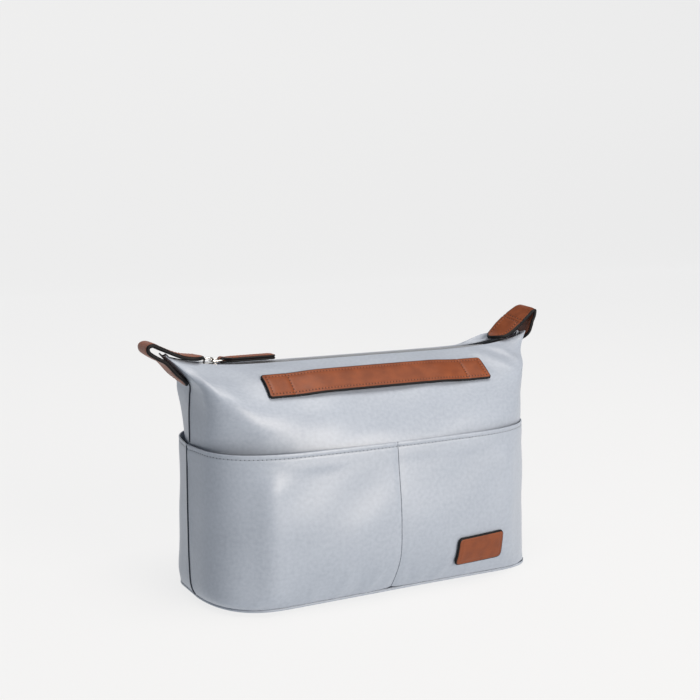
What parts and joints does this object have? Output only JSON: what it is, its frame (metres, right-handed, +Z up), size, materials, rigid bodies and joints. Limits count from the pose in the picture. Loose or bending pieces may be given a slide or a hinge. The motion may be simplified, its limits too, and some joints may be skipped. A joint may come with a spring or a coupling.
{
  "type": "purse organizer insert",
  "caption": "Soft zipped handbag organizer pouch with slip pockets outside, leather grab strap, label patch and loop tabs on the zip ends.",
  "frame": {"origin": "middle of the flat underside of the base, on the surface the pouch stands on", "axes": "+X along the zip to the right as seen from the front, -Y out of the front face, +Z up"},
  "size_m": [0.2999, 0.1296, 0.1799],
  "materials": {
    "fabric": "satin twill",
    "lining": "plain weave",
    "board": "matte",
    "leather": "fine grain, black painted edges",
    "zip_tape": "woven tape",
    "zip_teeth": "moulded",
    "metal": "polished nickel plate"
  },
  "bodies": {
    "root": {"base_panel": "fabric", "base_board": "board", "base_lining": "lining", "front_panel": "fabric", "back_panel": "fabric", "front_lining": "lining", "back_lining": "lining", "front_pocket": "fabric", "back_pocket": "fabric", "label_patch": "leather", "left_end_tab": "leather", "right_end_tab": "leather", "front_tape_left": "zip_tape", "front_tape_right": "zip_tape", "back_tape_left": "zip_tape", "back_tape_right": "zip_tape", "front_teeth_left": "zip_teeth", "front_teeth_right": "zip_teeth", "back_teeth_left": "zip_teeth", "back_teeth_right": "zip_teeth", "top_stop": "metal", "bottom_stop": "metal"},
    "front_mouth": {"front_mouth_panel": "fabric", "front_mouth_lining": "lining", "front_tape": "zip_tape", "front_teeth": "zip_teeth", "grab_strap": "leather"},
    "back_mouth": {"back_mouth_panel": "fabric", "back_mouth_lining": "lining", "back_tape": "zip_tape", "back_teeth": "zip_teeth"},
    "zip_slider": {"slider_body": "metal"},
    "pull_ring": {"pull_ring": "metal"},
    "leather_pull": {"leather_pull": "leather"}
  },
  "joints": [
    {"name": "slider_travel", "type": "slide", "parent": "root", "child": "zip_slider", "axis": [1, 0, 0], "range_m": [0, 0.17]},
    {"name": "ring_swing", "type": "hinge", "parent": "zip_slider", "child": "pull_ring", "pos_m": [-0.1056, 0, 0.15585], "axis": [0, -1, 0], "range_deg": [0, 100]},
    {"name": "pull_swing", "type": "hinge", "parent": "pull_ring", "child": "leather_pull", "pos_m": [-0.0982, 0, 0.15585], "axis": [0, -1, 0], "range_deg": [0, 60]},
    {"name": "front_mouth_fold", "type": "hinge", "parent": "root", "child": "front_mouth", "pos_m": [0, -0.0562, 0.104], "axis": [1, 0, 0], "range_deg": [0, 30]},
    {"name": "back_mouth_fold", "type": "hinge", "parent": "root", "child": "back_mouth", "pos_m": [0, 0.0562, 0.104], "axis": [-1, 0, 0], "range_deg": [0, 30]}
  ]
}
